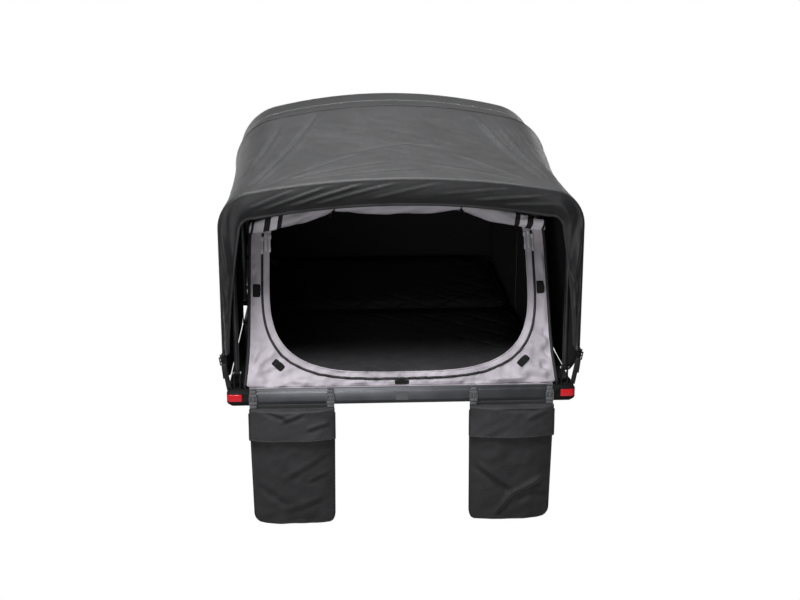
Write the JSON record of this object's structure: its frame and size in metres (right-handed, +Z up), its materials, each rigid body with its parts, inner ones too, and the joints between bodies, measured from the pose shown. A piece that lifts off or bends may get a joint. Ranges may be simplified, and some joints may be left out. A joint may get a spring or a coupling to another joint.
{
  "type": "roof top tent",
  "caption": "Folding roof top tent with a hinged base, fan of tube bows, open-doored inner tent, dark fly sheet on a front awning hoop and hanging shoe bags.",
  "frame": {"origin": "centre of the four roof bar bolts, on the underside of the mounting rails", "axes": "+Z up, the entrance faces -Y, +X to the right seen from the entrance, +Y towards the folding half"},
  "size_m": [1.4774, 2.3573, 1.6307],
  "materials": {
    "mount_alloy": "mill finish",
    "floor_board": "black coated board",
    "rail_alloy": "satin anodised",
    "moulded_black": "fine moulded grain",
    "reflector_red": "gloss",
    "mattress_grey": "woven cover",
    "bracket_steel": "black powder coat",
    "pin_steel": "plain",
    "tent_cloth": "light grey coated cotton",
    "webbing_grey": "ribbed webbing",
    "fly_cloth": "satin coated polyester",
    "webbing_black": "ribbed webbing",
    "zip_black": "coil zip",
    "bow_black": "black anodised",
    "bow_alloy": "satin",
    "zip_metal": "plain",
    "bag_cloth": "heavy woven polyester",
    "buckle_grey": "moulded"
  },
  "bodies": {
    "base": {"mounting_rails": "mount_alloy", "front_floor_panel": "floor_board", "front_end_rail": "rail_alloy", "front_side_rails": "rail_alloy", "front_centre_rail": "rail_alloy", "front_corner_caps": "moulded_black", "reflectors": "reflector_red", "front_mattress": "mattress_grey", "front_hinge_leaves": "bracket_steel", "hinge_pins": "pin_steel", "awning_brackets": "moulded_black", "front_bow_brackets": "bracket_steel", "centre_front_brackets": "bracket_steel", "front_pivot_pins": "pin_steel", "sill_strip": "tent_cloth", "rail_tab": "webbing_grey", "bag_loops": "webbing_grey", "front_wall": "tent_cloth", "inner_front": "tent_cloth", "fly_front": "fly_cloth", "fly_valance": "fly_cloth", "fly_straps": "webbing_black", "door_zip": "zip_black", "door_tabs": "webbing_black", "door_roll": "tent_cloth", "roll_ties": "webbing_black"},
    "rear_base": {"rear_floor_panel": "floor_board", "rear_end_rail": "rail_alloy", "rear_side_rails": "rail_alloy", "rear_centre_rail": "rail_alloy", "rear_corner_caps": "moulded_black", "rear_mattress": "mattress_grey", "rear_hinge_leaves": "bracket_steel", "rear_bow_brackets": "bracket_steel", "centre_rear_brackets": "bracket_steel", "rear_pivot_pins": "pin_steel", "rear_wall": "tent_cloth", "inner_rear": "tent_cloth", "fly_rear": "fly_cloth", "fly_back": "fly_cloth"},
    "awning": {"awning_hoop": "bow_black", "awning_hoop_ends": "moulded_black"},
    "front_bow": {"front_bow": "bow_alloy", "front_bow_ends": "moulded_black"},
    "centre_front_bow": {"centre_front_bow": "bow_alloy", "centre_front_bow_ends": "moulded_black"},
    "centre_rear_bow": {"centre_rear_bow": "bow_alloy", "centre_rear_bow_ends": "moulded_black"},
    "rear_bow": {"rear_bow": "bow_alloy", "rear_bow_ends": "moulded_black"},
    "left_zip": {"left_zip_slider": "zip_metal"},
    "right_zip": {"right_zip_slider": "zip_metal"},
    "left_bag": {"left_bag": "bag_cloth", "left_bag_straps": "webbing_grey", "left_bag_buckles": "buckle_grey"},
    "left_flap": {"left_bag_flap": "bag_cloth"},
    "right_bag": {"right_bag": "bag_cloth", "right_bag_straps": "webbing_grey", "right_bag_buckles": "buckle_grey"},
    "right_flap": {"right_bag_flap": "bag_cloth"}
  },
  "joints": [
    {"name": "base_fold", "type": "hinge", "parent": "base", "child": "rear_base", "pos_m": [0, 0.575, 0.208], "axis": [1, 0, 0], "range_deg": [0, 180], "deforming": ["front_wall", "inner_front", "fly_front", "fly_valance", "fly_straps", "door_zip", "door_tabs", "door_roll", "roll_ties", "left_zip_slider", "right_zip_slider", "rear_wall", "inner_rear", "fly_rear", "fly_back"]},
    {"name": "awning_fold", "type": "hinge", "parent": "base", "child": "awning", "pos_m": [0, -0.545, 0.168], "axis": [1, 0, 0], "range_deg": [-90, 0]},
    {"name": "front_bow_fold", "type": "hinge", "parent": "base", "child": "front_bow", "pos_m": [0, 0.515, 0.143], "axis": [1, 0, 0], "range_deg": [0, 46]},
    {"name": "centre_front_fold", "type": "hinge", "parent": "base", "child": "centre_front_bow", "pos_m": [0, 0.425, 0.193], "axis": [1, 0, 0], "range_deg": [0, 85]},
    {"name": "centre_rear_fold", "type": "hinge", "parent": "rear_base", "child": "centre_rear_bow", "pos_m": [0, 0.725, 0.193], "axis": [1, 0, 0], "range_deg": [-85, 0]},
    {"name": "rear_bow_fold", "type": "hinge", "parent": "rear_base", "child": "rear_bow", "pos_m": [0, 0.635, 0.143], "axis": [1, 0, 0], "range_deg": [-46, 0]},
    {"name": "left_zip_slide", "type": "slide", "parent": "base", "child": "left_zip", "axis": [0, 0.5287, 0.8488], "range_m": [-0.25, 0]},
    {"name": "right_zip_slide", "type": "slide", "parent": "base", "child": "right_zip", "axis": [0, 0.5287, 0.8488], "range_m": [-0.25, 0]},
    {"name": "left_bag_swing", "type": "hinge", "parent": "base", "child": "left_bag", "pos_m": [0, -0.576, 0.101], "axis": [1, 0, 0], "range_deg": [-75, 0]},
    {"name": "right_bag_swing", "type": "hinge", "parent": "base", "child": "right_bag", "pos_m": [0, -0.576, 0.101], "axis": [1, 0, 0], "range_deg": [-75, 0]},
    {"name": "left_flap_open", "type": "hinge", "parent": "left_bag", "child": "left_flap", "pos_m": [0, -0.5903, 0.026], "axis": [1, 0, 0], "range_deg": [-90, 0]},
    {"name": "right_flap_open", "type": "hinge", "parent": "right_bag", "child": "right_flap", "pos_m": [0, -0.5903, 0.026], "axis": [1, 0, 0], "range_deg": [-90, 0]}
  ],
  "couplings": [
    {"joint": "awning_fold", "follows": "base_fold", "ratio": -0.5},
    {"joint": "front_bow_fold", "follows": "base_fold", "ratio": 0.25556},
    {"joint": "centre_front_fold", "follows": "base_fold", "ratio": 0.47222},
    {"joint": "centre_rear_fold", "follows": "base_fold", "ratio": -0.47222},
    {"joint": "rear_bow_fold", "follows": "base_fold", "ratio": -0.25556}
  ]
}
